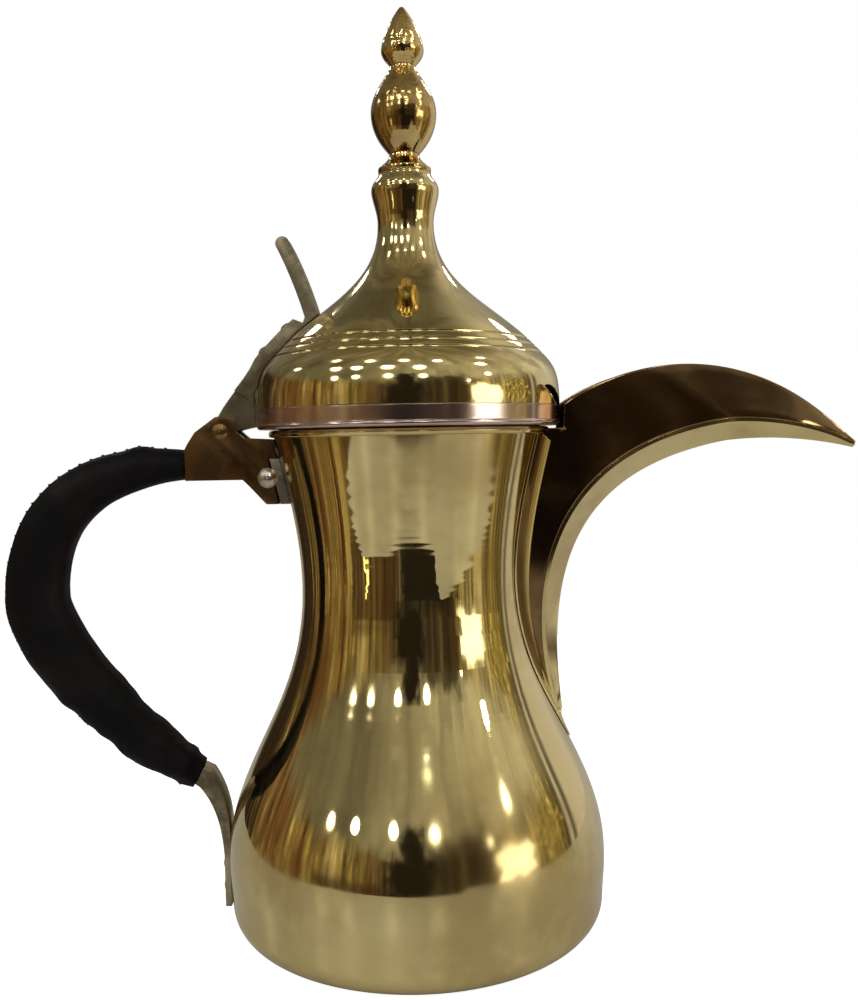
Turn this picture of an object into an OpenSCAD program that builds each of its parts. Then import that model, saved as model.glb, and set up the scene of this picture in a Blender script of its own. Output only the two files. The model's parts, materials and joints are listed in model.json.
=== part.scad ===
// Dallah, the Arabic coffee pot: a spun brass body with a crescent spout, a hinged
// domed lid under a turned finial, and a strap handle inside a stitched leather grip.
// Millimetres, +Z up, +X towards the spout, origin at the centre of the base.

/* [Body] */
// Radius of the belly, the widest part of the pot
belly_r = 62.7; // [58:0.1:68]
// Height of the widest part of the belly
belly_z = 23; // [19:0.5:28]
// Radius of the waist
waist_r = 36.6; // [33:0.1:40]
// Height of the waist
waist_z = 112; // [104:1:118]
// Outer radius of the body at its mouth
mouth_r = 45.2; // [42.5:0.1:48]
// Height of the mouth's edge above the table
mouth_z = 163.9; // [156:0.1:172]
// How far the wall holds upright above the belly, as a share of the rise to the waist
belly_fullness = 0.355; // [0.25:0.005:0.45]
// How far the wall holds upright below the waist, as a share of the rise to the waist
waist_fullness = 0.45; // [0.35:0.005:0.55]
// Outward lean of the wall at the mouth, run over rise
mouth_lean = 0.23; // [0.1:0.01:0.35]
// Thickness of the spun brass wall
wall = 1.4; // [1:0.1:1.8]
// Radius of the rounded edge round the base
base_edge_r = 9; // [7:0.5:11]
// How much the wall draws in between the belly and the rounded edge
heel_draft = 0.8; // [0.2:0.1:1.5]
// Width of the turned-in lip that the base plate is soldered to
base_lip = 5.6; // [4:0.1:8]
// Thickness of the base plate
base_plate_t = 1.6; // [1.2:0.1:2.2]
// Height of the bead round the mouth
mouth_bead_h = 2.4; // [1.6:0.1:3]
// How far the bead stands out from the wall
mouth_bead_t = 1.2; // [0.8:0.1:1.6]

/* [Spout] */
// Reach of the spout's tip from the pot's axis
spout_reach = 147.2; // [135:0.1:155]
// Drop of the tip below the mouth's edge
spout_tip_drop = 8.8; // [0:0.1:12]
// Height where the keel leaves the belly
spout_foot_z = 69; // [62:0.5:78]
// Distance from the pot's axis to the start of the beak, along the keel
beak_start = 104.5; // [96:0.5:112]
// Drop of the keel below the mouth's edge at the start of the beak
beak_drop = 5.8; // [2:0.1:8]
// Rise of the cheeks' free edge above the mouth's edge at the lid
spout_shoulder = 7; // [5:0.1:9]
// Rise of the control point that arches the free edge, above the mouth's edge
spout_arch = 35.8; // [30:0.1:42]
// Distance of that control point back from the tip
spout_arch_back = 41.8; // [36:0.1:48]
// Width across the cheeks at their widest
spout_w = 21.8; // [18:0.1:24]
// Width across the tip
spout_tip_w = 3; // [2.8:0.1:4]
// Depth of the keel's V, from the chine to the keel
keel_depth = 7.2; // [6:0.1:9.5]
// Thickness of the spout's sheet brass
spout_sheet = 1.2; // [0.9:0.1:1.3]
// Width of the fillet where the spout's edge is turned out over the body
fillet_w = 8; // [5:0.1:10]
// Height of the fillet up the cheek
fillet_h = 3.4; // [2:0.1:4.5]
// Space left between the edge of the pouring slot and the spout's sheet
slot_margin = 1.8; // [1:0.1:3]

/* [Lid] */
// Outer radius of the lid's copper band
band_r = 49.6; // [48.8:0.1:51]
// Height of the copper band
band_h = 6.3; // [5:0.1:8]
// Thickness of the copper band
band_t = 1.2; // [0.8:0.1:1.6]
// Radius of the bead along the band's lower edge
band_bead_r = 0.9; // [0.6:0.05:1.2]
// Gap between the mouth and the closed lid
lid_gap = 0.3; // [0.2:0.05:0.6]
// Thickness of the spun lid
lid_wall = 1.2; // [0.9:0.1:1.5]
// Height of the lid's shoulder above the band
shoulder_h = 20.7; // [18:0.1:24]
// Radius where the shoulder turns into the sweep up to the neck
shoulder_r = 40.8; // [38:0.1:44]
// Radius of the neck at its narrowest
neck_r = 9.2; // [8.4:0.1:10]
// Height of the sweep from the shoulder to the narrow of the neck
sweep_h = 39.7; // [34:0.1:44]
// Radius of the bead at the top of the neck
neck_bead_r = 11.15; // [10.4:0.05:12]
// Height from the narrow of the neck up to its bead
neck_flare_h = 10.8; // [9:0.1:13]
// Height from the bead to the flat top of the neck
neck_crown_h = 5.2; // [4:0.1:7]
// Radius of the flat top of the neck
neck_crown_r = 8.6; // [8:0.1:9]
// Height above the band of the lowest groove scribed round the lid
groove_h = 23.4; // [22:0.1:26]
// Step from one scribed groove to the next
groove_step = 2.4; // [1.6:0.1:3]
// Depth of the scribed grooves
groove_d = 0.3; // [0.2:0.05:0.5]
// Number of scribed grooves
groove_count = 3; // [1:1:4]
// Depth of the sleeve that centres the lid in the mouth
skirt_h = 6.5; // [4:0.1:9]
// Gap between the sleeve and the inside of the mouth
skirt_gap = 0.7; // [0.5:0.05:1.2]
// Thickness of the sleeve
skirt_t = 1; // [0.8:0.1:1.4]

/* [Finial] */
// Radius of the collar on top of the neck
collar_r = 8.7; // [7.6:0.1:9.5]
// Height of the collar
collar_h = 6.4; // [5:0.1:8]
// Radius of the finial's lower stem
stem_r = 4.9; // [4.2:0.1:5.6]
// Radius of the bulb
bulb_r = 10.75; // [9:0.05:12]
// Height of the bulb with its stems
bulb_h = 28.2; // [24:0.1:32]
// Radius of the stem between the bulb and the tip
upper_stem_r = 4.15; // [3.6:0.05:4.6]
// Radius of the tip's cup
tip_r = 7; // [6:0.1:8]
// Height of the tip
tip_h = 19.1; // [15:0.1:22]
// Height of the cup's edge above the foot of the tip
tip_cup_h = 5; // [4:0.1:6.5]
// Radius of the rounded point
point_r = 1.3; // [0.6:0.1:1.8]
// Radius of the rod that holds the finial together
rod_r = 2; // [1.5:0.1:2.2]
// Length of the rod inside the tip
rod_in_tip = 9; // [6:0.5:12]
// Width of the rod's nut across its flats
nut_flats = 8; // [6:0.1:10]
// Height of the nut
nut_h = 3.2; // [2.4:0.1:4.5]
// Radius of the washer under the nut
washer_r = 5.6; // [4.6:0.1:6]
// Thickness of the washer
washer_t = 0.8; // [0.5:0.1:1.2]

/* [Hinge] */
// Distance from the copper band to the hinge pin's axis
hinge_out = 12; // [11.5:0.1:14]
// Height of the hinge pin's axis above the mouth's edge
hinge_up = 0.1; // [-1:0.1:1]
// Radius of the hinge pin
pin_r = 1.8; // [1.3:0.05:2.1]
// Radius of the knuckle on the lid's strap
knuckle_r = 4.3; // [3.8:0.1:4.6]
// Width of the knuckle
knuckle_w = 6.8; // [5:0.1:8]
// Radius of the bracket's ears round the pin
ear_r = 4.9; // [4.4:0.1:5.4]
// Width across the bracket's ears
bracket_w = 15; // [13:0.1:17]
// Side clearance of the knuckle between the ears
knuckle_gap = 0.3; // [0.2:0.05:0.5]
// Running clearance of the pin in the knuckle
pin_gap = 0.05; // [0.02:0.01:0.1]
// Width of the strap above the ears
strap_w = 10.5; // [9:0.1:13]
// Distance from the pin's axis at which the strap widens
strap_widens = 14; // [13.6:0.1:17]
// Gap between the strap and the lid that it is riveted to
strap_seat = 0.15; // [0.1:0.05:0.3]
// Height of the strap's upper end above the mouth
strap_top = 37.8; // [35:0.1:42]
// Length of the thumb lever
lever_l = 27; // [19:0.1:30]
// Thickness of the thumb lever
lever_t = 4.6; // [3.5:0.1:6]
// Lean of the thumb lever back from upright, in degrees
lever_lean = 21; // [12:1:28]
// Radius of the strap's rivet heads
strap_rivet_r = 2.4; // [1.8:0.1:3]
// Heights of the strap's two rivets above the mouth
strap_rivet_h = [23.4, 30.6];

/* [Handle] */
// Height of the handle's bar where it leaves the bracket, below the hinge axis
bar_drop = 10.8; // [9.5:0.1:13]
// Distance from the hinge axis to the end of the bracket
bracket_out = 11.7; // [10.5:0.1:13]
// Height of the bracket where the bar leaves it
bracket_h = 10.2; // [9:0.1:11]
// Distance from the hinge axis to the outermost point of the bar
bar_reach = 64; // [58:0.1:70]
// Depth of the outermost point of the bar below the hinge axis
bar_depth = 54.5; // [48:0.5:60]
// Depth of the lower end of the grip below the hinge axis
grip_end_depth = 116; // [110:0.5:120]
// Distance of the grip's lower end out from the belly's widest line
grip_end_out = 7.8; // [6:0.1:10]
// Width of the bar
bar_w = 8.6; // [7:0.1:10]
// Thickness of the bar inside the grip
bar_t = 3.6; // [3:0.1:4.2]
// Thickness of the bar where it leaves the grip
tail_root_t = 6.4; // [5:0.1:7]
// Thickness of the bar's flattened end on the belly
tail_end_t = 2; // [1.6:0.1:2.6]
// Height of the bar's lower end above the table
tail_foot_z = 4.5; // [3:0.1:7]
// Depth of the grip at its upper end
grip_top_d = 9.8; // [9:0.1:11]
// Greatest depth of the grip, in the hand
grip_mid_d = 22; // [18:0.1:24]
// Depth of the grip at its lower end
grip_low_d = 13.4; // [12.6:0.1:16]
// Width of the grip at its upper end
grip_top_w = 11.4; // [11:0.1:14]
// Greatest width of the grip
grip_mid_w = 17.6; // [15:0.1:20]
// Width of the grip at its lower end
grip_low_w = 13; // [12:0.1:15]
// Gap between the grip and the bar in it
grip_gap = 0.1; // [0.05:0.01:0.2]
// Number of stitches down the back of the grip
stitch_count = 44; // [20:1:60]
// Radius of the stitching thread
thread_r = 0.45; // [0.3:0.05:0.7]
// Length of one stitch
stitch_l = 4.4; // [3:0.1:6]

/* [Fasteners] */
// Radius of the shafts of the handle's and bracket's rivets
rivet_r = 1.3; // [0.9:0.05:1.6]
// Radius of the heads of the handle's rivets
rivet_head_r = 2.6; // [2:0.1:3.2]
// Radius of the round heads of the cross rivet through the bracket's arm
cross_rivet_head_r = 3.3; // [2.6:0.1:3.6]
// Heights of the two rivets through the bar's lower end
tail_rivet_z = [10.5, 18];
// Thickness of the soldered pad that carries the bracket
pad_t = 3.2; // [2.4:0.1:4]
// Width of the pad
pad_w = 15; // [12:0.1:18]
// Thickness of the pad's lug between the cheeks of the bracket's arm
lug_t = 5; // [4:0.1:6]

/* [Hidden] */
$fn = 72;

brass = [0.78, 0.62, 0.30];
dark_brass = [0.42, 0.31, 0.14];
copper = [0.66, 0.42, 0.34];
solder = [0.62, 0.60, 0.52];
leather = [0.05, 0.045, 0.05];
thread = [0.12, 0.11, 0.12];

// Gap between two soldered or pressed pieces
seat = 0.05;
// Clearance that cutting shapes run past what they cut
over = 1;

// ---- Curves ----
// Point of the cubic curve with the four control points p
function cubic(p, t) = let (u = 1 - t)
    u*u*u*p[0] + 3*u*u*t*p[1] + 3*u*t*t*p[2] + t*t*t*p[3];
// Points of a cubic curve, without its last point
function curve(p, steps) = [for (i = [0:steps - 1]) cubic(p, i/steps)];
// Points of an arc from angle a to angle b, without its last point
function arc(c, r, a, b, steps) =
    [for (i = [0:steps - 1]) let (g = a + (b - a)*i/steps) c + r*[cos(g), sin(g)]];
function reversed(p) = [for (i = [len(p) - 1:-1:0]) p[i]];
// Direction square to the left of a line of points, at its point i
function left_of(p, i) = let (
    d = p[min(i + 1, len(p) - 1)] - p[max(i - 1, 0)]) [-d[1], d[0]]/norm(d);
// A line of points moved to its left by t, kept between two heights
function moved(p, t, low, high) = [for (i = [0:len(p) - 1])
    let (q = p[i] + t*left_of(p, i)) [max(q[0], 0), min(max(q[1], low), high)]];
// Radius of an outline at height z
function radius_at(outline, z) = lookup(z, [for (q = outline) [q[1], q[0]]]);
// Ratio of z's way from a to b
function way(z, a, b) = (z - a)/(b - a);

// A closed solid through rings of equal length, ordered along +X for rings that run
// anticlockwise as seen from the first ring's outer side
module skin(rings) {
    n = len(rings);
    m = len(rings[0]);
    sides = [for (i = [0:n - 2], j = [0:m - 1])
        let (k = (j + 1) % m, a = i*m, b = (i + 1)*m)
            each [[a + j, b + j, b + k], [a + j, b + k, a + k]]];
    polyhedron([for (r = rings) each r],
        concat([[for (j = [0:m - 1]) j]], sides, [[for (j = [m - 1:-1:0]) (n - 1)*m + j]]),
        convexity = 6);
}

// ---- Outline of the body ----
heel_r = belly_r - heel_draft;
foot_r = heel_r - base_edge_r;
heel_hold = (belly_z - base_edge_r)/2;
waist_rise = waist_z - belly_z;
mouth_rise = mouth_z - waist_z;
flare_hold = 0.34*mouth_rise;
body_base = concat([[foot_r - base_lip, 0]],
    arc([foot_r, base_edge_r], base_edge_r, -90, 0, 8),
    curve([[heel_r, base_edge_r], [heel_r, base_edge_r + heel_hold],
        [belly_r, belly_z - heel_hold], [belly_r, belly_z]], 4));
body_wall = concat(
    curve([[belly_r, belly_z], [belly_r, belly_z + belly_fullness*waist_rise],
        [waist_r, waist_z - waist_fullness*waist_rise], [waist_r, waist_z]], 20),
    curve([[waist_r, waist_z], [waist_r, waist_z + flare_hold],
        [mouth_r - mouth_lean*flare_hold, mouth_z - flare_hold], [mouth_r, mouth_z]], 12),
    [[mouth_r, mouth_z]]);
body_outline = concat(body_base, body_wall);
function body_r(z) = radius_at(body_wall, z);
function belly_r_at(z) = radius_at(concat(slice_heel(), body_wall), z);
function slice_heel() = [for (q = body_base) if (q[1] > 0) q];

// ---- Outline of the lid ----
band_z = mouth_z + lid_gap;
dome_z = band_z + band_h;
shoulder_z = dome_z + shoulder_h;
neck_z = shoulder_z + sweep_h;
neck_bead_z = neck_z + neck_flare_h;
crown_z = neck_bead_z + neck_crown_h;
bulb_z = crown_z + collar_h;
tip_z = bulb_z + bulb_h;
sweep_slope = [-0.7, 0.72];
dome_outline = concat(
    curve([[band_r, dome_z], [band_r, dome_z + 0.6*shoulder_h],
        [shoulder_r, shoulder_z] - 0.5*shoulder_h*sweep_slope/norm(sweep_slope),
        [shoulder_r, shoulder_z]], 14),
    curve([[shoulder_r, shoulder_z], [shoulder_r, shoulder_z] + 0.46*sweep_h*sweep_slope,
        [neck_r, neck_z - 0.5*sweep_h], [neck_r, neck_z]], 20),
    curve([[neck_r, neck_z], [neck_r, neck_z + 0.4*neck_flare_h],
        [neck_bead_r, neck_bead_z - 0.3*neck_flare_h], [neck_bead_r, neck_bead_z]], 8),
    curve([[neck_bead_r, neck_bead_z], [neck_bead_r, neck_bead_z + 0.45*neck_crown_h],
        [neck_crown_r, crown_z - 0.3*neck_crown_h], [neck_crown_r, crown_z]], 6),
    [[neck_crown_r, crown_z]]);
function dome_r(z) = radius_at(dome_outline, z);

// ---- Body pieces ----
module body_shell() {
    color(brass) difference() {
        rotate_extrude() polygon(concat(body_outline,
            reversed(moved(body_outline, wall, wall, mouth_z))));
        pouring_slot();
        tail_rivet_holes(rivet_r);
    }
}

// The slot through the wall behind the spout, as wide as the spout leaves room for
slot_low_z = spout_foot_z + 20;
slot_high_z = mouth_z - 7;
function slot_half_w(z) = spout_half_w(foot_s(z)) - spout_sheet - slot_margin;
module pouring_slot() {
    sides = [for (i = [0:8]) let (z = slot_low_z + (slot_high_z - slot_low_z)*i/8)
        [slot_half_w(z), z]];
    rotate([90, 0, 90]) linear_extrude(belly_r)
        polygon(concat(sides, reversed([for (q = sides) [-q[0], q[1]]])));
}

plate_r = foot_r - base_lip - seat;
plate_lap = 4;
module base_plate() {
    color(dark_brass) rotate_extrude() polygon([[0, 0], [plate_r, 0], [plate_r, wall + seat],
        [plate_r + plate_lap, wall + seat], [plate_r + plate_lap, wall + seat + base_plate_t],
        [0, wall + seat + base_plate_t]]);
}

bead_low_z = mouth_z - mouth_bead_h;
module mouth_bead() {
    foot = body_r(bead_low_z) + seat;
    lip = mouth_r + seat;
    color(brass) difference() {
        rotate_extrude() polygon([[foot, bead_low_z],
            [lip + 0.7*mouth_bead_t, bead_low_z + 0.1*mouth_bead_h],
            [lip + mouth_bead_t, bead_low_z + 0.5*mouth_bead_h],
            [lip + 0.7*mouth_bead_t, mouth_z - 0.1*mouth_bead_h], [lip, mouth_z]]);
        translate([0, -cheek_half_w_at_mouth() - seat, bead_low_z - over])
            cube([belly_r, 2*(cheek_half_w_at_mouth() + seat), mouth_bead_h + 2*over]);
    }
}

// ---- Spout ----
// Places along the spout run from 0 at its foot on the belly to 1 at its tip
beak_s = 0.66;
rim_s = 0.40;
step_s = 0.012;
tip_half_w = spout_tip_w/2;
spout_tip = [spout_reach, mouth_z - spout_tip_drop];
beak = [beak_start, mouth_z - beak_drop];
keel_stand = 2.4;
keel_foot = [body_r(spout_foot_z) + keel_stand, spout_foot_z];
throat = [waist_r + 5.8, waist_z + 14.7];
keel_rise = [keel_foot, throat, beak - [41.9, 7.9], beak];
keel_beak = [beak, beak + [13.9, 1.5], spout_tip + [-14.2, 3.5], spout_tip];
function keel(s) = s < beak_s ? cubic(keel_rise, s/beak_s)
    : cubic(keel_beak, (s - beak_s)/(1 - beak_s));
function keel_in(s) = let (d = keel(min(s + 0.01, 1)) - keel(max(s - 0.01, 0)))
    [-d[1], d[0]]/norm(d);
// The V is as deep as the keel stands off the body, up to its full depth
function keel_out(s) = keel(s)[0] - body_r(min(keel(s)[1], mouth_z));
function v_depth(s) = min(keel_out(s) - spout_sheet - 0.4,
    max(0.9, keel_depth*pow(sin(180*pow(s, 0.8)), 0.65)));
function chine(s) = keel(s) + v_depth(s)*keel_in(s);
function spout_half_w(s) =
    cubic([tip_half_w, 0.826*spout_w, 0.436*spout_w, tip_half_w], s);

// The cheeks' inner edge stands on the body as high as the mouth, passes the lid, and
// then arches over to the tip
cheek_foot_z = spout_foot_z + 1;
cheek_high_z = mouth_z - 0.7;
function foot_z(s) = cheek_foot_z + (cheek_high_z - cheek_foot_z)*pow(s/rim_s, 0.84);
function foot_s(z) = rim_s*pow(way(z, cheek_foot_z, cheek_high_z), 1/0.84);
function on_body(y, z, out = 0) = let (r = body_r(z) + out) [sqrt(r*r - y*y), y, z];
function cheek_half_w_at_mouth() = spout_half_w(rim_s);
lid_pass_x = band_r + band_bead_r/2 - 0.2;
free_edge_start = [lid_pass_x + 0.4, mouth_z + spout_shoulder];
free_edge_end = spout_tip + [-0.8, 2.6];
free_edge = [free_edge_start, free_edge_start + [9.8, 8.3],
    [spout_reach - spout_arch_back, mouth_z + spout_arch], free_edge_end];
shoulder_s = rim_s + 2*step_s;

function cheek_station(s, edge) = let (
    w = spout_half_w(s), in = w - spout_sheet,
    c = chine(s) + (spout_sheet + seat)*keel_in(s))
    [[edge[0], -w, edge[1]], [c[0], -w, c[1]], [c[0], -in, c[1]], [edge[0], -in, edge[1]]];
function foot_edge(s) = let (p = on_body(spout_half_w(s) - spout_sheet, foot_z(s), 2*seat))
    [p[0], p[2]];
cheek_stations = [for (i = [0:24]) rim_s*pow(i/24, 1.2)];
cheek_rings = concat(
    [for (s = cheek_stations) cheek_station(s, foot_edge(s))],
    [cheek_station(rim_s + step_s, [lid_pass_x, cheek_high_z])],
    [for (i = [0:30]) let (s = shoulder_s + (1 - shoulder_s)*i/30)
        cheek_station(s, cubic(free_edge, i/30))]);
module spout_cheek() {
    skin(cheek_rings);
}
module spout_cheek_front() {
    color(dark_brass) spout_cheek();
}
module spout_cheek_back() {
    color(dark_brass) mirror([0, 1, 0]) spout_cheek();
}

function keel_ring(s) = let (
    w = spout_half_w(s), k = keel(s), c = chine(s), t = spout_sheet*keel_in(s))
    [[k[0], 0, k[1]], [c[0], w, c[1]], [c[0] + t[0], w, c[1] + t[1]],
        [k[0] + 1.2*t[0], 0, k[1] + 1.2*t[1]],
        [c[0] + t[0], -w, c[1] + t[1]], [c[0], -w, c[1]]];
module spout_keel() {
    color(brass) skin([for (i = [0:60]) keel_ring(i/60)]);
}

// The fillet runs down the front of the spout's foot, round its point and up the back.
// A section of it starts at the point (y, z) of the body, reaches out over the body in
// direction d, and climbs the spout to the point top
fillet_turn_s = 0.08;
fillet_edge_t = 0.6;
fillet_gap = 0.35;
fillet_top_s = foot_s(bead_low_z - seat);
function hollow(a, b, c, t) = (1 - t)*(1 - t)*a + 2*(1 - t)*t*b + t*t*c;
function fillet_section(y, z, d, top) = let (
    root = on_body(y, z, 2*seat),
    mid = on_body(y + d[0]*fillet_w/2, z + d[1]*fillet_w/2, 2*seat),
    rim = on_body(y + d[0]*fillet_w, z + d[1]*fillet_w, 2*seat),
    edge = on_body(y + d[0]*fillet_w, z + d[1]*fillet_w, fillet_edge_t),
    pull = root + [fillet_edge_t, 0, 0])
    [root, mid, rim, edge, hollow(top, pull, edge, 0.7), hollow(top, pull, edge, 0.4), top];
function fillet_ring(s, side) = let (
    turn = max(0, 1 - s/fillet_turn_s), g = 70*turn,
    w = spout_half_w(s) + fillet_gap*(1 + turn),
    foot = on_body(w, foot_z(s), 2*seat), c = chine(s) - [foot[0], foot[2]],
    climb = c*min(fillet_h/norm(c), 0.65))
    fillet_section(side*w, foot_z(s), [side*cos(g), -sin(g)],
        [foot[0] + climb[0], side*w, foot[2] + climb[1]]);
function fillet_corner(y, z, g) = fillet_section(y, z, [cos(g), sin(g)],
    on_body(y, z, keel_stand - 0.6));
fillet_point_z = spout_foot_z - 0.45;
fillet_stations = [for (s = cheek_stations) if (s < fillet_top_s - 0.004) s];
fillet_sides = concat(fillet_stations, [fillet_top_s]);
module spout_fillet() {
    w = tip_half_w + 2*fillet_gap;
    color(brass) skin(concat(
        [for (s = reversed(fillet_sides)) fillet_ring(s, -1)],
        [fillet_corner(-w, fillet_point_z, -102), fillet_corner(0, fillet_point_z, -90),
            fillet_corner(w, fillet_point_z, -78)],
        [for (s = fillet_sides) fillet_ring(s, 1)]));
}

// ---- Hinge and bracket ----
hinge_x = -(band_r + hinge_out);
hinge_z = mouth_z + hinge_up;
bar_z = hinge_z - bar_drop;
bracket_x = hinge_x - bracket_out;
slot_w = knuckle_w + 2*knuckle_gap;
arm_low_z = hinge_z - 24;
arm_x = -body_r(arm_low_z) - pad_t;
pad_high_z = hinge_z - 9.2;
cross_x = arm_x - 3.4;
cross_z = hinge_z - 15.4;
bracket_low_z = bar_z - bracket_h/2;
bracket_high_z = bar_z + bracket_h/2;
arm_outline = concat(
    [[bracket_x, bracket_high_z], [bracket_x, bracket_low_z],
        [hinge_x + 7, bracket_low_z], [hinge_x + 9.2, bracket_low_z - 2.2]],
    [[cross_x - 0.6, arm_low_z], [arm_x - seat, arm_low_z],
        [-body_r(cross_z) - pad_t - 2*seat, cross_z],
        [-body_r(pad_high_z) - pad_t - 2*seat, pad_high_z + seat],
        [-body_r(pad_high_z) - 0.3, pad_high_z + seat],
        [-body_r(bead_low_z) - 0.5, bead_low_z - 0.3],
        [hinge_x + ear_r + 2.6, bead_low_z + 0.2]],
    arc([hinge_x, hinge_z], ear_r, 0, 118, 12),
    [[bracket_x + 3.4, hinge_z - 0.2], [bracket_x + 0.9, hinge_z - 4]]);
module across(w) {
    translate([0, w/2, 0]) rotate([90, 0, 0]) linear_extrude(w) children();
}
module cross_rod(x, z, r, w) {
    translate([x, w/2, z]) rotate([90, 0, 0]) cylinder(r = r, h = w);
}
knuckle_slot_z = hinge_z - ear_r - 0.7;
lug_slot_w = lug_t + 2*seat;
module handle_bracket() {
    color(dark_brass) difference() {
        across(bracket_w) polygon(arm_outline);
        translate([bracket_x - over, -slot_w/2, knuckle_slot_z])
            cube([band_r, slot_w, 4*ear_r]);
        translate([cross_x - 4.4, -lug_slot_w/2, arm_low_z - over])
            cube([band_r, lug_slot_w, bar_z - arm_low_z + over + 1]);
        translate([bracket_x - over, -bar_w/2 - seat, bar_z - bar_t/2 - seat])
            cube([bar_socket + over, bar_w + 2*seat, bar_t + 2*seat]);
        cross_rod(hinge_x, hinge_z, pin_r + seat, bracket_w + over);
        cross_rod(cross_x, cross_z, rivet_r + seat, bracket_w + over);
    }
}
bar_socket = 7;

module bracket_pad() {
    low = arm_low_z;
    high = pad_high_z;
    back = [for (i = [0:6]) let (z = low + (high - low)*i/6) [body_r(z) + seat, z]];
    front = [for (q = back) q + [pad_t, 0]];
    color(solder) {
        intersection() {
            rotate_extrude() polygon(concat(back, reversed(front)));
            translate([-belly_r, -pad_w/2, low - over])
                cube([belly_r, pad_w, high - low + 2*over]);
        }
        difference() {
            across(lug_t) polygon([[-body_r(low) - pad_t/2, low + 0.6],
                [cross_x, low + 2], [cross_x - 3.6, cross_z - 2.4],
                [cross_x - 3.6, cross_z + 2.6], [-body_r(high) - pad_t/2, high - 0.6]]);
            cross_rod(cross_x, cross_z, rivet_r + seat, lug_t + over);
        }
    }
}

// A round head on the end of a rivet, rising along +Z from z = 0
module rivet_head(r, h) {
    ball = (r*r + h*h)/(2*h);
    intersection() {
        translate([0, 0, h - ball]) sphere(r = ball);
        cylinder(r = r, h = h);
    }
}
module cross_rivet() {
    color(brass) translate([cross_x, 0, cross_z]) rotate([90, 0, 0]) {
        translate([0, 0, -bracket_w/2 - seat]) cylinder(r = rivet_r, h = bracket_w + 2*seat);
        for (side = [0, 1]) mirror([0, 0, side])
            translate([0, 0, bracket_w/2 + seat]) rivet_head(cross_rivet_head_r, 1.3);
    }
}
module hinge_pin() {
    color(brass) translate([hinge_x, 0, hinge_z]) rotate([90, 0, 0]) {
        translate([0, 0, -bracket_w/2 - seat]) cylinder(r = pin_r, h = bracket_w + 2*seat);
        for (side = [0, 1]) mirror([0, 0, side])
            translate([0, 0, bracket_w/2 + seat]) rivet_head(pin_r + 0.7, 0.7);
    }
}

// ---- Handle ----
reach_x = hinge_x - bar_reach;
reach_z = hinge_z - bar_depth;
grip_end = [-belly_r - grip_end_out, hinge_z - grip_end_depth];
bar_start = [bracket_x + bar_socket - 0.4, bar_z];
tail_x = -belly_r - 2*seat - tail_end_t/2;
tail_land_z = belly_z - 1;
upper_curve = [[bracket_x, bar_z], [bracket_x - 30.6, bar_z + 0.8],
    [reach_x, reach_z + 31.5], [reach_x, reach_z]];
lower_curve = [[reach_x, reach_z], [reach_x, reach_z - 15.5],
    [grip_end[0] - 26.5, grip_end[1] + 14], grip_end];
tail_curve = [grip_end, grip_end + [5.7, -8], [tail_x, tail_land_z + 9],
    [tail_x, tail_land_z]];
grip_path = concat(curve(upper_curve, 20), curve(lower_curve, 24), [grip_end]);
tail_path = concat(curve(tail_curve, 12), [[tail_x, tail_land_z], [tail_x, tail_foot_z]]);
bar_path = concat([bar_start], curve(upper_curve, 20), curve(lower_curve, 24), tail_path);
function tail_t(i) = let (n = len(tail_path) - 2) i >= n ? tail_end_t
    : tail_root_t + (tail_end_t - tail_root_t)*pow(i/n, 0.75);
bar_first_tail = len(bar_path) - len(tail_path);
function bar_t_at(i) = i >= bar_first_tail ? tail_t(i - bar_first_tail)
    : i < bar_first_tail - 4 ? bar_t
    : bar_t + (tail_root_t - bar_t)*way(i, bar_first_tail - 4, bar_first_tail);
function bar_side(side, more = 0) = [for (i = [0:len(bar_path) - 1])
    bar_path[i] + side*(bar_t_at(i)/2 + more)*left_of(bar_path, i)];
module tail_rivet_holes(r) {
    for (z = tail_rivet_z) translate([-belly_r - 3*tail_end_t, 0, z]) rotate([0, 90, 0])
        cylinder(r = r + seat, h = belly_r/3);
}
module handle_bar() {
    color(brass) difference() {
        across(bar_w) polygon(concat(bar_side(1), reversed(bar_side(-1))));
        tail_rivet_holes(rivet_r);
    }
}
module tail_rivets() {
    outer_x = tail_x - tail_end_t/2 - seat;
    head_lap = 0.3;
    inner_head_r = rivet_r + 1;
    color(dark_brass) for (z = tail_rivet_z) {
        inner_x = -belly_r_at(z - inner_head_r) + wall + 3*seat;
        translate([outer_x, 0, z]) rotate([0, -90, 0]) rivet_head(rivet_head_r, 1);
        translate([outer_x - head_lap, 0, z]) rotate([0, 90, 0])
            cylinder(r = rivet_r, h = inner_x - outer_x + 2*head_lap);
        translate([inner_x, 0, z]) rotate([0, 90, 0]) rivet_head(inner_head_r, 0.8);
    }
}

// A size of the grip at place t along its path, from the sizes at its top, in the hand
// and at its lower end
grip_hand_t = 0.56;
function grip_size(top, mid, low, t) = t < grip_hand_t
    ? cubic([top, mid - 0.28*(mid - top), mid - 0.06*(mid - top), mid], t/grip_hand_t)
    : cubic([mid, mid, low + 0.4*(mid - low), low], (t - grip_hand_t)/(1 - grip_hand_t));
function grip_r(t) = grip_size(grip_top_d, grip_mid_d, grip_low_d, t)/2;
function grip_half_w(t) = grip_size(grip_top_w, grip_mid_w, grip_low_w, t)/2;
grip_sides = 20;
grip_points = [for (i = [0:len(grip_path) - 1]) i == 0 ? grip_path[0] - [seat + 0.15, 0]
    : grip_path[i]];
function grip_ring(i) = let (
    p = grip_points[i], n = left_of(grip_points, i), t = i/(len(grip_points) - 1))
    [for (j = [0:grip_sides - 1]) let (g = 360*j/grip_sides, a = grip_r(t)*cos(g))
        [p[0] + a*n[0], grip_half_w(t)*sin(g), p[1] + a*n[1]]];
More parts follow.
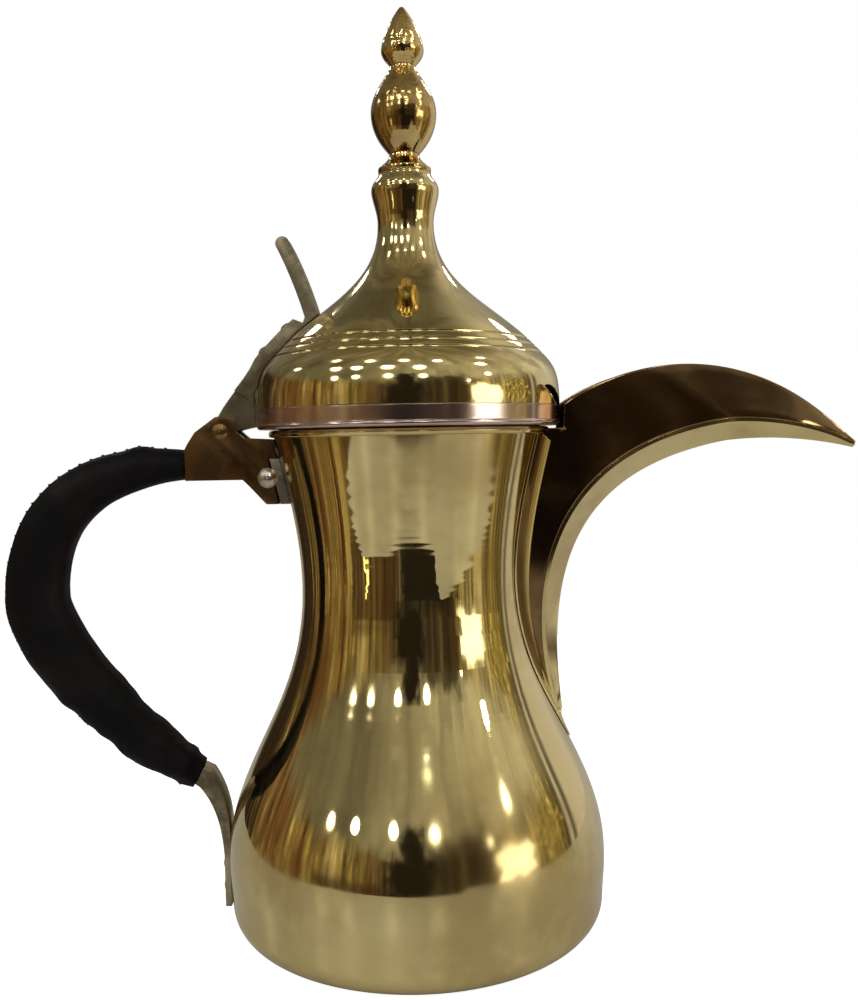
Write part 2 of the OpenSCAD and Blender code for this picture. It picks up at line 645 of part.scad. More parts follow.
module grip() {
    color(leather) difference() {
        skin([for (i = [0:len(grip_points) - 1]) grip_ring(i)]);
        across(bar_w + 2*grip_gap)
            polygon(concat(bar_side(1, grip_gap), reversed(bar_side(-1, grip_gap))));
    }
}
module grip_stitching() {
    last = len(grip_points) - 1;
    color(thread) for (k = [0:stitch_count - 1]) {
        f = last*(0.04 + 0.92*k/(stitch_count - 1));
        i = floor(f);
        p = grip_points[i] + (f - i)*(grip_points[i + 1] - grip_points[i]);
        n = left_of(grip_points, i);
        r = grip_r(f/last) + thread_r + seat;
        translate([p[0] - r*n[0], stitch_l/2, p[1] - r*n[1]]) rotate([90, 0, 0])
            cylinder(r = thread_r, h = stitch_l);
    }
}

// ---- Lid's strap ----
strap_foot = [hinge_x - 1.8, hinge_z + knuckle_r - 0.2];
strap_top_z = mouth_z + strap_top;
lever_root = [-dome_r(strap_top_z) - strap_seat, strap_top_z];
lever_dir = [-sin(lever_lean), cos(lever_lean)];
lever_side = [cos(lever_lean), sin(lever_lean)];
lever_start = lever_root + [-0.4, 0.6];
lever_inner = curve([lever_start, lever_start + 0.35*lever_l*lever_dir + [0.9, 0],
    lever_start + 0.7*lever_l*lever_dir + [0.7, 0],
    lever_start + (lever_l - lever_t/2)*lever_dir], 6);
lever_tip = lever_start + (lever_l - lever_t/2)*lever_dir - lever_t/2*lever_side;
strap_pass_x = band_r + band_bead_r/2 + 0.6;
strap_seat_line = [for (i = [0:12])
    let (z = strap_top_z + (dome_z + 8 - strap_top_z)*i/12)
        [-dome_r(z) - strap_seat, z]];
function lid_lean(z) = atan2(dome_r(z - 0.5) - dome_r(z + 0.5), 1);
// The strap's back runs beside the lid, as far from it as the heads of the rivets are
strap_rivet_seat = 4.3;
function strap_back(z) = [-dome_r(z), z]
    + (strap_rivet_seat - seat)*[-cos(lid_lean(z)), sin(lid_lean(z))];
strap_back_low = mouth_z + strap_rivet_h[0] - strap_rivet_r;
strap_back_high = mouth_z + strap_rivet_h[1] + strap_rivet_r;
strap_outline = concat(
    [strap_foot],
    curve([strap_foot, strap_foot + [4.5, 8.2], strap_back(strap_back_low) - [3.4, 7.2],
        strap_back(strap_back_low)], 6),
    [for (i = [0:6]) strap_back(strap_back_low + (strap_back_high - strap_back_low)*i/6)],
    [lever_start - (lever_t + 1.4)*lever_side + [0.6, -1.2]],
    [for (q = lever_inner) q - lever_t*lever_side],
    arc(lever_tip, lever_t/2, 180 + lever_lean, lever_lean, 8),
    reversed(lever_inner),
    strap_seat_line,
    [[-strap_pass_x, dome_z + 6], [-strap_pass_x, band_z + 1.2],
        [hinge_x + knuckle_r, hinge_z], [hinge_x, hinge_z]]);
module lid_strap() {
    color(dark_brass) difference() {
        union() {
            difference() {
                across(strap_w) polygon(strap_outline);
                cross_rod(hinge_x, hinge_z, strap_widens, strap_w + over);
            }
            intersection() {
                across(knuckle_w) polygon(strap_outline);
                cross_rod(hinge_x, hinge_z, strap_widens + 0.5, knuckle_w + over);
            }
            cross_rod(hinge_x, hinge_z, knuckle_r, knuckle_w);
        }
        cross_rod(hinge_x, hinge_z, pin_r + pin_gap, strap_w + over);
        for (h = strap_rivet_h) strap_rivet_at(h)
            translate([0, 0, -3*lid_wall]) cylinder(r = rivet_r + seat, h = 12*lid_wall);
    }
}

// Places a rivet square to the lid at height h above the band, with z = 0 on its surface
module strap_rivet_at(h) {
    z = mouth_z + h;
    translate([-dome_r(z), 0, z]) rotate([0, -90 + lid_lean(z), 0]) children();
}
module strap_rivets() {
    color(brass) for (h = strap_rivet_h) strap_rivet_at(h) {
        translate([0, 0, -lid_wall - 0.3]) cylinder(r = rivet_r, h = strap_rivet_seat + 1.5);
        translate([0, 0, strap_rivet_seat]) rivet_head(strap_rivet_r, 1.4);
        translate([0, 0, -lid_wall - 0.3]) mirror([0, 0, 1]) rivet_head(rivet_r + 1, 0.8);
    }
}

// ---- Lid ----
module lid_dome() {
    shell = concat(dome_outline, [[rod_r + seat, crown_z]]);
    color(brass) difference() {
        rotate_extrude() polygon(concat(shell,
            reversed(moved(shell, lid_wall, dome_z, crown_z - lid_wall))));
        for (i = [0:groove_count - 1]) scribed_groove(band_z + groove_h + i*groove_step);
        for (h = strap_rivet_h) strap_rivet_at(h)
            translate([0, 0, -3*lid_wall]) cylinder(r = rivet_r + seat, h = 6*lid_wall);
    }
}
module scribed_groove(z) {
    rotate_extrude() translate([dome_r(z) + groove_d, z]) circle(r = 2*groove_d, $fn = 16);
}

// The sleeve follows the leaning wall at the mouth, inside it
wall_run = wall*sqrt(1 + mouth_lean*mouth_lean);
sleeve_r = mouth_r - wall_run - skirt_gap;
band_plate_r = sleeve_r - skirt_t - 0.8;
module lid_band() {
    top = dome_z - seat;
    color(copper) rotate_extrude() {
        polygon([[band_plate_r, band_z], [band_r, band_z], [band_r, top],
            [band_r - 3*band_t, top], [band_r - 3*band_t, top - band_t],
            [band_r - band_t, top - band_t], [band_r - band_t, band_z + band_t],
            [band_plate_r, band_z + band_t]]);
        translate([band_r - band_bead_r/2, band_z + band_bead_r]) circle(r = band_bead_r);
    }
}
module lid_sleeve() {
    top = band_z - seat;
    low = top - skirt_h;
    low_r = body_r(low) - wall_run - skirt_gap;
    color(brass) rotate_extrude() polygon([[low_r - skirt_t, low], [low_r, low],
        [sleeve_r, top], [sleeve_r - skirt_t, top]]);
}

// ---- Finial ----
module turned(outline, bore_top) {
    difference() {
        rotate_extrude() polygon(outline);
        translate([0, 0, outline[0][1] - over])
            cylinder(r = rod_r + seat, h = bore_top - outline[0][1] + over);
    }
}
module finial_collar() {
    low = crown_z + seat;
    edge = 2.2;
    color(brass) turned(concat([[0, low], [collar_r - 0.4, low], [collar_r, low + 0.5],
        [collar_r, low + edge - 0.5], [collar_r - 0.6, low + edge]],
        curve([[collar_r - 0.6, low + edge], [stem_r + 1.6, low + edge + 1.2],
            [stem_r, bulb_z - 1.6], [stem_r, bulb_z]], 6),
        [[stem_r, bulb_z], [0, bulb_z]]), bulb_z + over);
}
module finial_bulb() {
    low = bulb_z + seat;
    mid = bulb_z + 0.47*bulb_h;
    color(brass) turned(concat([[0, low]],
        curve([[stem_r, low], [stem_r + 1.2, low + 1.6], [bulb_r, mid - 7.4], [bulb_r, mid]], 12),
        curve([[bulb_r, mid], [bulb_r, mid + 6.6], [upper_stem_r + 0.6, tip_z - 3],
            [upper_stem_r, tip_z]], 12),
        [[upper_stem_r, tip_z], [0, tip_z]]), tip_z + over);
}
module finial_tip() {
    low = tip_z + seat;
    edge = tip_z + tip_cup_h;
    high = tip_z + tip_h;
    color(brass) turned(concat([[0, low]],
        curve([[upper_stem_r, low], [upper_stem_r + 0.8, low + 1.4],
            [tip_r, edge - 2.2], [tip_r, edge]], 6),
        curve([[tip_r, edge], [tip_r - 0.1, edge + 3.2], [0.6*tip_r, high - 4.75],
            [point_r*cos(36), high - point_r*(1 - sin(36))]], 10),
        arc([0, high - point_r], point_r, 48, 90, 4), [[0, high]]), tip_z + rod_in_tip + 0.4);
}
washer_z = crown_z - lid_wall - seat - washer_t;
nut_z = washer_z - seat - nut_h;
module finial_rod() {
    color(dark_brass) translate([0, 0, nut_z - 1.5])
        cylinder(r = rod_r, h = tip_z + rod_in_tip - nut_z + 1.5);
}
module finial_washer() {
    color(dark_brass) translate([0, 0, washer_z]) difference() {
        cylinder(r = washer_r, h = washer_t);
        translate([0, 0, -over]) cylinder(r = rod_r + seat, h = washer_t + 2*over);
    }
}
module finial_nut() {
    color(dark_brass) translate([0, 0, nut_z]) difference() {
        cylinder(d = nut_flats/cos(30), h = nut_h, $fn = 6);
        translate([0, 0, -over]) cylinder(r = rod_r + seat, h = nut_h + 2*over);
    }
}

body_shell();
base_plate();
mouth_bead();
spout_cheek_front();
spout_cheek_back();
spout_keel();
spout_fillet();
bracket_pad();
handle_bracket();
cross_rivet();
hinge_pin();
handle_bar();
tail_rivets();
grip();
grip_stitching();
lid_strap();
strap_rivets();
lid_dome();
lid_band();
lid_sleeve();
finial_collar();
finial_bulb();
finial_tip();
finial_rod();
finial_washer();
finial_nut();
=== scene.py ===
import json
import math

import bmesh
import bpy
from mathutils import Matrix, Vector


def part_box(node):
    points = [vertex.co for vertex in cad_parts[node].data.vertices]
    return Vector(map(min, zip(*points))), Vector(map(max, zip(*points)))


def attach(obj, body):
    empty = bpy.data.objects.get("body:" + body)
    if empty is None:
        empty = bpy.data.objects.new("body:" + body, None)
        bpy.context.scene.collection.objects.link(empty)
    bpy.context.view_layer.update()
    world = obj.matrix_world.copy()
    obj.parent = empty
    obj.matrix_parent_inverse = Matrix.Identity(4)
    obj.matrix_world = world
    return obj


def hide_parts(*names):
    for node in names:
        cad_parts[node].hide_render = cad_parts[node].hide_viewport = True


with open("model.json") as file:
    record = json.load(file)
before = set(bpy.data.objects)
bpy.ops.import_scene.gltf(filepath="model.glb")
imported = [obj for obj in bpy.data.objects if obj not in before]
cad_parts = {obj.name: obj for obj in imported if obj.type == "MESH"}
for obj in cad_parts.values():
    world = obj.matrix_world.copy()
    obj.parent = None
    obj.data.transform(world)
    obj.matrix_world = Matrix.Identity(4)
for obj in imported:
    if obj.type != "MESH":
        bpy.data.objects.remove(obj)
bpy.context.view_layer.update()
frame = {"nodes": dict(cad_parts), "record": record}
MM = 0.001

# ---- Camera ----
# A phone's lens, half way up the pot and 35 cm in front of its axis. It looks a little
# down and leans by one degree.
focal_ratio = 1.0546
looks_down = 3.22
leans = 1.04
camera_data = bpy.data.cameras.new("camera")
camera_data.sensor_width = 36
camera_data.lens = focal_ratio * camera_data.sensor_width
camera = bpy.data.objects.new("camera", camera_data)
camera.location = (6.4 * MM, -351.2 * MM, 159.8 * MM)
camera.rotation_euler = (math.radians(90 - looks_down), math.radians(leans), 0)
bpy.context.scene.collection.objects.link(camera)
bpy.context.scene.camera = camera

# ---- Body ----
# The body is one sheet of brass, spun over a form to its waist and belly and polished on
# the lathe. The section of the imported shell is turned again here, much finer, so that the
# polished wall mirrors the room without facets.


def copy_of(node, name):
    """A loose copy of a CAD node, its doubles merged, left active in edit mode, all selected."""
    bpy.ops.object.select_all(action="DESELECT")
    piece = frame["nodes"][node].copy()
    piece.data = piece.data.copy()
    piece.name = piece.data.name = name
    piece.parent = None
    for key in list(piece.keys()):
        del piece[key]
    piece.data.materials.clear()
    bpy.context.scene.collection.objects.link(piece)
    bpy.context.view_layer.objects.active = piece
    piece.select_set(True)
    bpy.ops.mesh.customdata_custom_splitnormals_clear()
    bpy.ops.object.mode_set(mode="EDIT")
    bpy.ops.mesh.select_all(action="SELECT")
    bpy.ops.mesh.remove_doubles(threshold=0.01 * MM)
    return piece


def select_points(piece, wanted):
    """Selects the points of a piece in edit mode for which wanted(place) holds."""
    mesh = bmesh.from_edit_mesh(piece.data)
    bpy.ops.mesh.select_mode(type="VERT")
    bpy.ops.mesh.select_all(action="DESELECT")
    for point in mesh.verts:
        point.select_set(wanted(point.co))
    mesh.select_flush_mode()
    bmesh.update_edit_mesh(piece.data)


def round_edges(width, corner=28):
    """Rounds every edge of the active piece that is sharper than corner, in degrees."""
    bpy.ops.mesh.select_mode(type="EDGE")
    bpy.ops.mesh.select_all(action="DESELECT")
    bpy.ops.mesh.edges_select_sharp(sharpness=math.radians(corner))
    bpy.ops.mesh.bevel(offset=width, segments=2, profile=0.6, clamp_overlap=True)


def finish_smooth(piece):
    """Leaves edit mode and smooths the piece with a subdivision surface that is applied."""
    bpy.ops.object.mode_set(mode="OBJECT")
    smooth = piece.modifiers.new("smooth", "SUBSURF")
    smooth.levels = smooth.render_levels = 1
    bpy.ops.object.modifier_apply(modifier=smooth.name)
    bpy.ops.object.shade_smooth()


def straight(point, limit):
    """Whether the two edges at a point run on within limit, in degrees."""
    if len(point.link_edges) != 2:
        return False
    a, b = (edge.other_vert(point).co - point.co for edge in point.link_edges)
    return math.degrees(a.angle(b)) > 180 - limit


def turned(node, name, steps=96, edge=0.15 * MM):
    """A turned piece: the CAD node's section at one side, spun round the pot's axis."""
    hair = 0.001 * MM
    on_axis = 0.05 * MM
    piece = copy_of(node, name)
    bpy.ops.mesh.bisect(plane_co=(0, 0, 0), plane_no=(1, 0, 0), clear_inner=True,
                        clear_outer=True, threshold=hair)
    bpy.ops.mesh.select_all(action="SELECT")
    bpy.ops.mesh.bisect(plane_co=(0, 0, 0), plane_no=(0, 1, 0), clear_inner=True,
                        threshold=hair)
    bpy.ops.mesh.select_all(action="SELECT")
    bpy.ops.mesh.remove_doubles(threshold=0.03 * MM)
    section = bmesh.from_edit_mesh(piece.data)
    spare = [point for point in section.verts if straight(point, 0.4)]
    bmesh.ops.dissolve_verts(section, verts=spare)
    for point in section.verts:
        if point.co.y < on_axis:
            point.co.y = 0
    bmesh.update_edit_mesh(piece.data)
    bpy.ops.mesh.select_all(action="SELECT")
    bpy.ops.mesh.spin(steps=steps, angle=2 * math.pi, center=(0, 0, 0), axis=(0, 0, 1))
    bpy.ops.mesh.select_all(action="SELECT")
    bpy.ops.mesh.remove_doubles(threshold=0.01 * MM)
    bpy.ops.mesh.dissolve_degenerate(threshold=0.002 * MM)
    bpy.ops.mesh.normals_make_consistent(inside=False)
    round_edges(edge)
    finish_smooth(piece)
    return piece


class Value:
    """A value in a node tree, so that shader maths reads as plain arithmetic."""

    def __init__(self, tree, socket):
        self.tree = tree
        self.socket = socket

    def maths(self, operation, first, second):
        node = self.tree.nodes.new("ShaderNodeMath")
        node.operation = operation
        for place, term in zip(node.inputs, (first, second)):
            feed(self.tree, place, term)
        return Value(self.tree, node.outputs[0])

    def __add__(self, other):
        return self.maths("ADD", self, other)

    def __sub__(self, other):
        return self.maths("SUBTRACT", self, other)

    def __rsub__(self, other):
        return self.maths("SUBTRACT", other, self)

    def __mul__(self, other):
        return self.maths("MULTIPLY", self, other)

    def __truediv__(self, other):
        return self.maths("DIVIDE", self, other)

    __radd__ = __add__
    __rmul__ = __mul__


def feed(tree, place, term):
    """Links a value to a socket, or sets the socket to a number, a colour or a vector."""
    if isinstance(term, Value):
        tree.links.new(term.socket, place)
    elif place.type == "RGBA":
        place.default_value = (*term, 1)
    else:
        place.default_value = term


class Nodes:
    """The nodes of one material or world."""

    def __init__(self, tree):
        self.tree = tree

    def node(self, kind, settings, sockets, output=0):
        """Adds a node: its settings or colour stops first, then its sockets by name or number."""
        node = self.tree.nodes.new("ShaderNode" + kind)
        stops = settings.pop("stops", ())
        for setting, value in settings.items():
            setattr(node, setting, value)
        for number, (place, colour) in enumerate(stops):
            elements = node.color_ramp.elements
            stop = elements[number] if number < 2 else elements.new(place)
            stop.position = place
            stop.color = (*colour, 1)
        for name, term in sockets.items():
            feed(self.tree, node.inputs[name], term)
        return Value(self.tree, node.outputs[output])

    def place(self, scale=(1, 1, 1)):
        """Places on the piece, in metres, stretched by scale."""
        here = self.node("TexCoord", {}, {}, "Object")
        return self.node("Mapping", {}, {"Vector": here, "Scale": scale})

    def noise(self, place, scale, detail=3, roughness=0.5):
        return self.node("TexNoise", {}, {"Vector": place, "Scale": scale, "Detail": detail,
                                          "Roughness": roughness})

    def between(self, value, low, high):
        """A value's way from low to high, as a share that eases in and out."""
        return self.node("MapRange", {"interpolation_type": "SMOOTHSTEP"},
                         {"Value": value, "From Min": low, "From Max": high})

    def mix(self, share, first, second):
        """A colour between two colours."""
        return self.node("Mix", {"data_type": "RGBA"}, {0: share, 6: first, 7: second}, 2)

    def bump(self, height, distance, under=None):
        sockets = {"Height": height, "Distance": distance}
        if under:
            sockets["Normal"] = under
        return self.node("Bump", {}, sockets)


def finish(name, colour, roughness, metallic=1.0):
    """A new material with its constants set, as its nodes and its shader."""
    material = bpy.data.materials.new(name)
    material.use_nodes = True
    nodes = Nodes(material.node_tree)
    shader = material.node_tree.nodes["Principled BSDF"]
    shader.inputs["Base Color"].default_value = (*colour, 1)
    shader.inputs["Roughness"].default_value = roughness
    shader.inputs["Metallic"].default_value = metallic
    return material, nodes, shader


def polished(name, colour, tarnish, gloss=0.035, smudge=0.1, lines=1e-6, wave=60e-6):
    """Metal polished on the lathe: fine lines round the axis, soft waves, smudges, tarnish."""
    material, nodes, shader = finish(name, colour, gloss)
    clouds = nodes.noise(nodes.place(), 22, detail=4)
    specks = nodes.noise(nodes.place(), 190, detail=2)
    dull = nodes.between(clouds + specks * 0.2, 0.48, 0.78)
    feed(nodes.tree, shader.inputs["Base Color"], nodes.mix(dull, colour, tarnish))
    feed(nodes.tree, shader.inputs["Roughness"], dull * smudge + gloss)
    swell = nodes.bump(nodes.noise(nodes.place((1, 1, 1.6)), 24, detail=3), wave)
    polish = nodes.noise(nodes.place((25, 25, 2600)), 1, detail=2)
    feed(nodes.tree, shader.inputs["Normal"], nodes.bump(polish, lines, swell))
    return material


brass_colour = (0.70, 0.58, 0.275)
brass_tarnish = (0.52, 0.40, 0.175)
polished_brass = polished("polished_brass", brass_colour, brass_tarnish)
body_of = {node: body for body, nodes in frame["record"]["behaviour"]["bodies"].items()
           for node in nodes}


def dress(piece, node, material):
    """Gives a new piece its finish and puts it in the place of its CAD node."""
    piece.data.materials.append(material)
    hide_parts(node)
    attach(piece, body_of[node])


def cut(piece, place, size, taper=1.0):
    """Cuts a block out of a piece. The block's top is taper times as wide as its foot."""
    bpy.ops.object.select_all(action="DESELECT")
    bpy.ops.mesh.primitive_cube_add(size=1, location=place)
    block = bpy.context.active_object
    bpy.ops.transform.resize(value=size)
    bpy.ops.object.transform_apply(location=True, rotation=True, scale=True)
    bpy.ops.object.mode_set(mode="EDIT")
    select_points(block, lambda point: point.z > place[2])
    bpy.ops.transform.resize(value=(1, taper, 1))
    bpy.ops.object.mode_set(mode="OBJECT")
    bpy.ops.object.select_all(action="DESELECT")
    bpy.context.view_layer.objects.active = piece
    piece.select_set(True)
    saw = piece.modifiers.new("cut", "BOOLEAN")
    saw.operation = "DIFFERENCE"
    saw.solver = "EXACT"
    saw.object = block
    bpy.ops.object.modifier_apply(modifier=saw.name)
    bpy.data.objects.remove(block)


body = turned("body_shell", "body", steps=128)
# The slot that lets the coffee into the spout is narrow at its foot and widens upwards
slot_foot = Vector((52, 0, 89)) * MM
slot_head = Vector((52, 0, 157)) * MM
slot_foot_width = 4.6 * MM
through_the_wall = 40 * MM
cut(body, (slot_foot + slot_head) / 2,
    (through_the_wall, slot_foot_width, slot_head.z - slot_foot.z), taper=3.2)
dress(body, "body_shell", polished_brass)

# ---- Base and mouth ----
# A flat disc is soldered inside the turned-in foot, left dull from the solder bath. A
# half-round bead is soldered round the mouth and stops at the spout's cheeks.
dull_brass = polished("dull_brass", (0.42, 0.33, 0.17), (0.25, 0.19, 0.1), gloss=0.34,
                      smudge=0.2, lines=6e-6)
base = turned("base_plate", "base", steps=72)
dress(base, "base_plate", dull_brass)

bead = turned("mouth_bead", "bead", steps=128)
bead_low, bead_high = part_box("mouth_bead")
spout_width = 2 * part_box("spout_cheek_back")[1].y
cut(bead, (bead_high.x, 0, (bead_low.z + bead_high.z) / 2), (30 * MM, spout_width, 6 * MM))
dress(bead, "mouth_bead", polished_brass)

# ---- Spout ----
# Three sheets of brass, soldered along their edges: two cheeks and a keel folded to a V.
# Where it meets the body, its edge is turned out and smoothed into a hollow fillet.


def sheet_piece(node, name, edge):
    """A bent sheet: the CAD node's mesh with its corners rounded and its curves smoothed."""
    piece = copy_of(node, name)
    bpy.ops.mesh.tris_convert_to_quads(face_threshold=math.radians(60),
                                       shape_threshold=math.radians(80))
    round_edges(edge, corner=35)
    finish_smooth(piece)
    return piece


# The cheeks' brass is painted far darker than the keel's: painted shade standing in for the dark
# reflection of what stands in front of them
cheek_painted_shade = polished("cheek_painted_shade", (0.27, 0.175, 0.083), (0.15, 0.09, 0.04), wave=110e-6)
for side in ("front", "back"):
    cheek = sheet_piece("spout_cheek_" + side, "cheek_" + side, 0.2 * MM)
    dress(cheek, "spout_cheek_" + side, cheek_painted_shade)
keel = sheet_piece("spout_keel", "keel", 0.2 * MM)
dress(keel, "spout_keel", polished_brass)
fillet = sheet_piece("spout_fillet", "fillet", 0.12 * MM)
# The fillet's brass is painted paler than the body's: a painted highlight for the bright lines
# along its edges
fillet_painted_highlight = polished("fillet_painted_highlight", (0.88, 0.76, 0.43), (0.72, 0.59, 0.31), gloss=0.1)
dress(fillet, "spout_fillet", fillet_painted_highlight)

# ---- Bracket, bar and strap ----
# Castings in a browner brass, filed and rubbed smooth by hand: the bracket with the two
# ears of the hinge, the bar, and the strap with its thumb lever, which turns with the lid.


def cast(name, colour, dark, roughness, pits=25e-6):
    """Cast metal rubbed smooth: uneven colour, shallow pits and file marks."""
    material, nodes, shader = finish(name, colour, roughness)
    clouds = nodes.noise(nodes.place(), 90, detail=5, roughness=0.6)
    worn = nodes.between(clouds, 0.36, 0.66)
    feed(nodes.tree, shader.inputs["Base Color"], nodes.mix(worn, dark, colour))
    feed(nodes.tree, shader.inputs["Roughness"], roughness + 0.22 - worn * 0.2)
    files = nodes.noise(nodes.place((1600, 120, 500)), 1, detail=2)
    lumps = nodes.bump(nodes.noise(nodes.place(), 260, detail=3), pits)
    feed(nodes.tree, shader.inputs["Normal"], nodes.bump(files, 8e-6, lumps))
    return material


def cast_piece(node, name, edge, corner=28):
    """A casting: the CAD node's mesh with its flat faces joined and its edges rounded."""
    piece = copy_of(node, name)
    bpy.ops.mesh.dissolve_limited(angle_limit=math.radians(1))
    bpy.ops.object.mode_set(mode="OBJECT")
    rounding = piece.modifiers.new("rounding", "BEVEL")
    rounding.width = edge
    rounding.segments = 4
    rounding.angle_limit = math.radians(corner)
    rounding.harden_normals = False
    bpy.ops.object.modifier_apply(modifier=rounding.name)
    bpy.ops.object.shade_smooth_by_angle(angle=math.radians(35))
    return piece


bracket_brass = cast("bracket_brass", (0.36, 0.205, 0.08), (0.11, 0.065, 0.027), 0.18, pits=50e-6)
lever_brass = cast("lever_brass", (0.44, 0.375, 0.25), (0.16, 0.13, 0.08), 0.28, pits=70e-6)
solder_finish = cast("solder", (0.66, 0.6, 0.51), (0.2, 0.16, 0.12), 0.2, pits=110e-6)
bracket = cast_piece("handle_bracket", "bracket", 0.9 * MM)
dress(bracket, "handle_bracket", bracket_brass)
pad = cast_piece("bracket_pad", "pad", 0.5 * MM)
dress(pad, "bracket_pad", solder_finish)
bar = cast_piece("handle_bar", "bar", 0.8 * MM)
dress(bar, "handle_bar", lever_brass)
strap = cast_piece("lid_strap", "strap", 0.7 * MM)
dress(strap, "lid_strap", lever_brass)
for node, metal in (("hinge_pin", bracket_brass), ("cross_rivet", solder_finish),
                    ("tail_rivets", lever_brass), ("strap_rivets", lever_brass)):
    frame["nodes"][node].material_slots[0].material = metal

# ---- Grip ----
# Black leather, wetted and drawn tight round the bar, then sewn down its back with waxed
# thread. It creases a little inside the bend and gathers at its lower end.
leather_colour = (0.003, 0.0027, 0.003)
leather, nodes, shader = finish("leather", leather_colour, 0.5, metallic=0.0)
shader.inputs["Specular IOR Level"].default_value = 0.1
rubbed = nodes.between(nodes.noise(nodes.place(), 60, detail=4), 0.45, 0.75)
feed(nodes.tree, shader.inputs["Base Color"],
     nodes.mix(rubbed, leather_colour, (0.009, 0.0055, 0.006)))
feed(nodes.tree, shader.inputs["Roughness"], 0.58 - rubbed * 0.16)
grain = nodes.node("TexVoronoi", {}, {"Vector": nodes.place(), "Scale": 1100})
creases = nodes.bump(nodes.noise(nodes.place(), 420, detail=3), 120e-6)
feed(nodes.tree, shader.inputs["Normal"], nodes.bump(grain, 60e-6, creases))

grip = copy_of("grip", "grip_leather")
bpy.ops.object.mode_set(mode="OBJECT")
skin = grip.modifiers.new("skin", "REMESH")
skin.mode = "VOXEL"
skin.voxel_size = 0.7 * MM
bpy.ops.object.modifier_apply(modifier=skin.name)
relax = grip.modifiers.new("relax", "SMOOTH")
relax.factor = 0.5
relax.iterations = 3
bpy.ops.object.modifier_apply(modifier=relax.name)
bpy.ops.object.shade_smooth()
lumps = bpy.data.textures.new("gathers", "CLOUDS")
lumps.noise_scale = 11 * MM
lumps.noise_depth = 1
# The gathers are deepest low down and fade out upwards to a trace
fade_end = 105 * MM
fade_height = 45 * MM
trace = 0.12
low_end = grip.vertex_groups.new(name="low_end")
for point in grip.data.vertices:
    share = min(1, max(trace, (fade_end - point.co.z) / fade_height))
    low_end.add([point.index], share, "REPLACE")
gathers = grip.modifiers.new("gathers", "DISPLACE")
gathers.texture = lumps
gathers.texture_coords = "LOCAL"
gathers.vertex_group = low_end.name
gathers.strength = 3.2 * MM
gathers.mid_level = 0.5
bpy.ops.object.modifier_apply(modifier=gathers.name)
grip.vertex_groups.clear()
# Its lower end is drawn in round the bar, and a fold stands up near its upper end
end = Vector((-70.4, 0, 48.1)) * MM
end_faces = Vector((0.884, 0, -0.467))
end_reach = 12 * MM
drawn_in = -2.4 * MM
fold = Vector((-89.5, 0, 156)) * MM
fold_stands = (0, 0, 0.8 * MM)
bpy.ops.object.mode_set(mode="EDIT")
select_points(grip, lambda point: (point - end).dot(end_faces) > -0.7 * MM
              and (point - end).length < end_reach)
bpy.ops.transform.translate(value=end_faces * drawn_in, use_proportional_edit=True,
                            proportional_edit_falloff="SMOOTH", proportional_size=end_reach)
bpy.ops.transform.resize(value=(0.8, 0.88, 0.8), use_proportional_edit=True,
                         proportional_edit_falloff="SPHERE", proportional_size=4 * MM)
select_points(grip, lambda point: (point - fold).length < 3 * MM)
bpy.ops.transform.translate(value=fold_stands, use_proportional_edit=True,
                            proportional_edit_falloff="SMOOTH", proportional_size=6 * MM)
bpy.ops.object.mode_set(mode="OBJECT")
dress(grip, "grip", leather)

# ---- Stitching ----
# Waxed black thread closes the leather down its back. Each stitch crosses the seam, and
# its ends go down through the leather.
thread = finish("thread", (0.012, 0.01, 0.01), 0.5, metallic=0.0)[0]
thread_radius = 0.33 * MM
half_stitch = 2.1 * MM
stitch_steps = (-1, -0.8, -0.45, 0, 0.45, 0.8, 1)
stitch_places = copy_of("grip_stitching", "stitch_places")
bpy.ops.mesh.separate(type="LOOSE")
bpy.ops.object.mode_set(mode="OBJECT")
stitches = []
for place in list(bpy.context.selected_objects):
    middle = sum((Vector(corner) for corner in place.bound_box), Vector()) / 8
    _, foot, outward, _ = grip.closest_point_on_mesh(middle)
    stitch_data = bpy.data.curves.new("stitch", "CURVE")
    stitch_data.dimensions = "3D"
    stitch_data.bevel_depth = thread_radius
    stitch_data.bevel_resolution = 2
    stitch_data.use_fill_caps = True
    spline = stitch_data.splines.new("POLY")
    spline.points.add(len(stitch_steps) - 1)
    for point, share in zip(spline.points, stitch_steps):
        side = Vector((0, half_stitch * share, 0))
        height = (0.05 - 1.3 * share ** 4) * MM
        point.co = (*(foot + side + outward * height), 1)
    stitches.append(bpy.data.objects.new("stitch", stitch_data))
    bpy.context.scene.collection.objects.link(stitches[-1])
    bpy.data.objects.remove(place)
bpy.ops.object.select_all(action="DESELECT")
for stitch in stitches:
    stitch.select_set(True)
bpy.context.view_layer.objects.active = stitches[0]
bpy.ops.object.convert(target="MESH")
bpy.ops.object.join()
stitching = bpy.context.active_object
stitching.name = stitching.data.name = "stitching"
bpy.ops.object.shade_smooth()
dress(stitching, "grip_stitching", thread)

# ---- Lid ----
# The lid is spun in one piece up to its neck, with three lines scribed above the shoulder.
# A copper band with a bead is soldered round its edge, and a short sleeve centres it.
copper = polished("copper", (0.66, 0.52, 0.47), (0.42, 0.31, 0.27), gloss=0.12)
dome = turned("lid_dome", "dome", steps=128, edge=0.1 * MM)
dress(dome, "lid_dome", polished_brass)
band = turned("lid_band", "band", steps=128)
dress(band, "lid_band", copper)
sleeve = turned("lid_sleeve", "sleeve")
dress(sleeve, "lid_sleeve", dull_brass)

